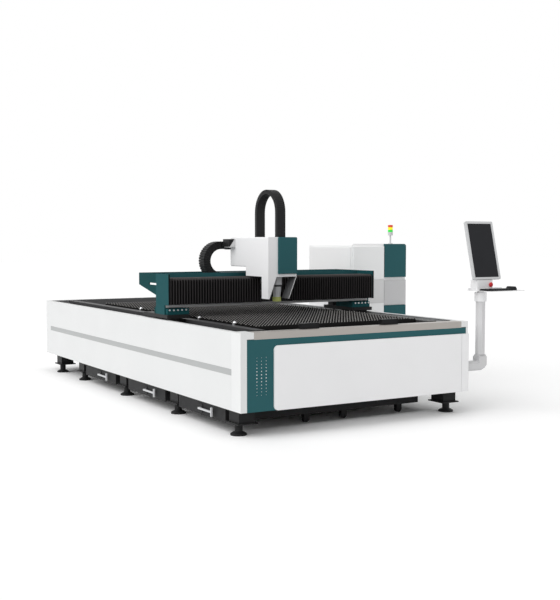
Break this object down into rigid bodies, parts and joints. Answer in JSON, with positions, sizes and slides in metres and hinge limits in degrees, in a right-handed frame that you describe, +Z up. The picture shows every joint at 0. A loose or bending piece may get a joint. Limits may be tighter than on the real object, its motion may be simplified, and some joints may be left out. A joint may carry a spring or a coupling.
{
  "type": "fiber laser cutting machine",
  "caption": "Open-bed fiber laser cutter with a slatted table, moving gantry, cutting head on an X carriage, slag drawers, electrics cabinet and swivel console.",
  "frame": {"origin": "on the floor under the middle of the bed", "axes": "+X across the bed towards the cabinet and console, +Y along the bed to its rear, +Z up"},
  "size_m": [2.98, 4.85, 1.9314],
  "materials": {
    "white_paint": "powder coat, low gloss",
    "teal_paint": "powder coat, satin",
    "light_grey_paint": "painted, satin",
    "dark_grey_paint": "painted, matt",
    "black_paint": "painted, matt",
    "bed_steel": "painted welded steel",
    "slat_steel": "raw laser-cut sheet, spattered",
    "bright_steel": "ground",
    "bellows_cloth": "coated fabric, semi-matt",
    "chain_plastic": "moulded, semi-matt",
    "black_plastic": "moulded, satin",
    "grey_plastic": "moulded, satin",
    "screen_glass": "dark screen, semi-gloss",
    "red_plastic": "moulded, gloss",
    "lens_plastic": "translucent coloured lenses",
    "ring_ceramic": "glazed",
    "wheel_rubber": "solid tyre"
  },
  "bodies": {
    "machine": {"left_tube": "bed_steel", "right_tube": "bed_steel", "cross_tubes": "bed_steel", "left_side_panel": "white_paint", "right_side_panel": "white_paint", "corner_posts": "white_paint", "front_panel": "teal_paint", "front_cover": "white_paint", "front_strip": "bright_steel", "rear_panel": "white_paint", "rear_deck": "dark_grey_paint", "rail_covers": "dark_grey_paint", "y_rails": "bright_steel", "slat_combs": "dark_grey_paint", "slats": "slat_steel", "feed_balls": "bright_steel", "foot_brackets": "black_paint", "levelling_feet": "black_paint", "cabinet_body": "white_paint", "cabinet_teal_fascia": "teal_paint", "cabinet_grey_fascia": "light_grey_paint", "signal_tower_stem": "grey_plastic", "signal_tower_lenses": "lens_plastic", "console_post": "light_grey_paint"},
    "cabinet_door": {"cabinet_door": "white_paint"},
    "console": {"console_shelf": "light_grey_paint", "control_box": "light_grey_paint", "keyboard": "black_plastic", "mouse": "black_plastic", "monitor_housing": "grey_plastic", "monitor_screen": "screen_glass"},
    "stop_button": {"emergency_stop": "red_plastic"},
    "gantry": {"gantry_beam": "light_grey_paint", "gantry_left_leg": "teal_paint", "gantry_right_leg": "teal_paint", "gantry_bases": "black_paint", "cable_tray": "teal_paint", "x_rails": "bright_steel", "y_motors": "black_paint", "left_bellows": "bellows_cloth", "right_bellows": "bellows_cloth", "x_chain": "chain_plastic"},
    "left_drive_pinion": {"y_pinion_left": "bright_steel"},
    "right_drive_pinion": {"y_pinion_right": "bright_steel"},
    "carriage": {"carriage_plate": "dark_grey_paint", "carriage_cover": "white_paint", "carriage_front_cover": "teal_paint", "z_chain": "chain_plastic"},
    "cross_drive_pinion": {"x_pinion": "bright_steel"},
    "head": {"cutting_head": "light_grey_paint", "sensor_ring": "ring_ceramic"},
    "front_drawer": {"front_slag_drawer": "black_paint"},
    "front_outer_wheels": {"front_drawer_outer_wheels": "wheel_rubber"},
    "front_inner_wheels": {"front_drawer_inner_wheels": "wheel_rubber"},
    "middle_drawer": {"middle_slag_drawer": "black_paint"},
    "middle_outer_wheels": {"middle_drawer_outer_wheels": "wheel_rubber"},
    "middle_inner_wheels": {"middle_drawer_inner_wheels": "wheel_rubber"},
    "rear_drawer": {"rear_slag_drawer": "black_paint"},
    "rear_outer_wheels": {"rear_drawer_outer_wheels": "wheel_rubber"},
    "rear_inner_wheels": {"rear_drawer_inner_wheels": "wheel_rubber"}
  },
  "joints": [
    {"name": "gantry_slide", "type": "slide", "parent": "machine", "child": "gantry", "axis": [0, 1, 0], "range_m": [-0.8, 2.25]},
    {"name": "carriage_slide", "type": "slide", "parent": "gantry", "child": "carriage", "axis": [1, 0, 0], "range_m": [-0.62, 0.9], "deforming": ["left_bellows", "right_bellows", "x_chain"]},
    {"name": "head_slide", "type": "slide", "parent": "carriage", "child": "head", "axis": [0, 0, 1], "range_m": [-0.08, 0.04], "deforming": ["z_chain"]},
    {"name": "console_swivel", "type": "hinge", "parent": "machine", "child": "console", "pos_m": [1.321, -2.26, 0.952], "axis": [0, 0, 1], "range_deg": [-90, 90]},
    {"name": "stop_press", "type": "slide", "parent": "console", "child": "stop_button", "axis": [0, 1, 0], "range_m": [0, 0.006], "stiffness_N_per_m": 1500},
    {"name": "cabinet_door_hinge", "type": "hinge", "parent": "machine", "child": "cabinet_door", "pos_m": [1.206, -0.48, 0.75], "axis": [0, 0, 1], "range_deg": [-90, 0]},
    {"name": "left_drive_pinion_spin", "type": "hinge", "parent": "gantry", "child": "left_drive_pinion", "pos_m": [-0.9383, -0.55, 0.75], "axis": [0, 0, 1], "range_deg": [-4634.1, 1667]},
    {"name": "right_drive_pinion_spin", "type": "hinge", "parent": "gantry", "child": "right_drive_pinion", "pos_m": [0.9383, -0.55, 0.75], "axis": [0, 0, 1], "range_deg": [-1667, 4634.1]},
    {"name": "cross_drive_pinion_spin", "type": "hinge", "parent": "carriage", "child": "cross_drive_pinion", "pos_m": [-0.143, -0.8003, 1.15], "axis": [0, 0, 1], "range_deg": [-1298.7, 1871.7]},
    {"name": "front_drawer_slide", "type": "slide", "parent": "machine", "child": "front_drawer", "axis": [-1, 0, 0], "range_m": [0, 1.2]},
    {"name": "front_outer_wheel_spin", "type": "hinge", "parent": "front_drawer", "child": "front_outer_wheels", "pos_m": [-0.297, -1.62049, 0.03], "axis": [0, 1, 0], "range_deg": [-2321.8, 30]},
    {"name": "front_inner_wheel_spin", "type": "hinge", "parent": "front_drawer", "child": "front_inner_wheels", "pos_m": [0.647, -1.62049, 0.03], "axis": [0, 1, 0], "range_deg": [-2321.8, 30]},
    {"name": "middle_drawer_slide", "type": "slide", "parent": "machine", "child": "middle_drawer", "axis": [-1, 0, 0], "range_m": [0, 1.2]},
    {"name": "middle_outer_wheel_spin", "type": "hinge", "parent": "middle_drawer", "child": "middle_outer_wheels", "pos_m": [-0.297, -0.49, 0.03], "axis": [0, 1, 0], "range_deg": [-2321.8, 30]},
    {"name": "middle_inner_wheel_spin", "type": "hinge", "parent": "middle_drawer", "child": "middle_inner_wheels", "pos_m": [0.647, -0.49, 0.03], "axis": [0, 1, 0], "range_deg": [-2321.8, 30]},
    {"name": "rear_drawer_slide", "type": "slide", "parent": "machine", "child": "rear_drawer", "axis": [-1, 0, 0], "range_m": [0, 1.2]},
    {"name": "rear_outer_wheel_spin", "type": "hinge", "parent": "rear_drawer", "child": "rear_outer_wheels", "pos_m": [-0.297, 0.68949, 0.03], "axis": [0, 1, 0], "range_deg": [-2321.8, 30]},
    {"name": "rear_inner_wheel_spin", "type": "hinge", "parent": "rear_drawer", "child": "rear_inner_wheels", "pos_m": [0.647, 0.68949, 0.03], "axis": [0, 1, 0], "range_deg": [-2321.8, 30]}
  ],
  "couplings": [
    {"joint": "left_drive_pinion_spin", "follows": "gantry_slide", "rad_per_m": -35.714},
    {"joint": "right_drive_pinion_spin", "follows": "gantry_slide", "rad_per_m": 35.714},
    {"joint": "cross_drive_pinion_spin", "follows": "carriage_slide", "rad_per_m": 35.714},
    {"joint": "front_outer_wheel_spin", "follows": "front_drawer_slide", "rad_per_m": -33.333},
    {"joint": "front_inner_wheel_spin", "follows": "front_drawer_slide", "rad_per_m": -33.333},
    {"joint": "middle_outer_wheel_spin", "follows": "middle_drawer_slide", "rad_per_m": -33.333},
    {"joint": "middle_inner_wheel_spin", "follows": "middle_drawer_slide", "rad_per_m": -33.333},
    {"joint": "rear_outer_wheel_spin", "follows": "rear_drawer_slide", "rad_per_m": -33.333},
    {"joint": "rear_inner_wheel_spin", "follows": "rear_drawer_slide", "rad_per_m": -33.333}
  ]
}
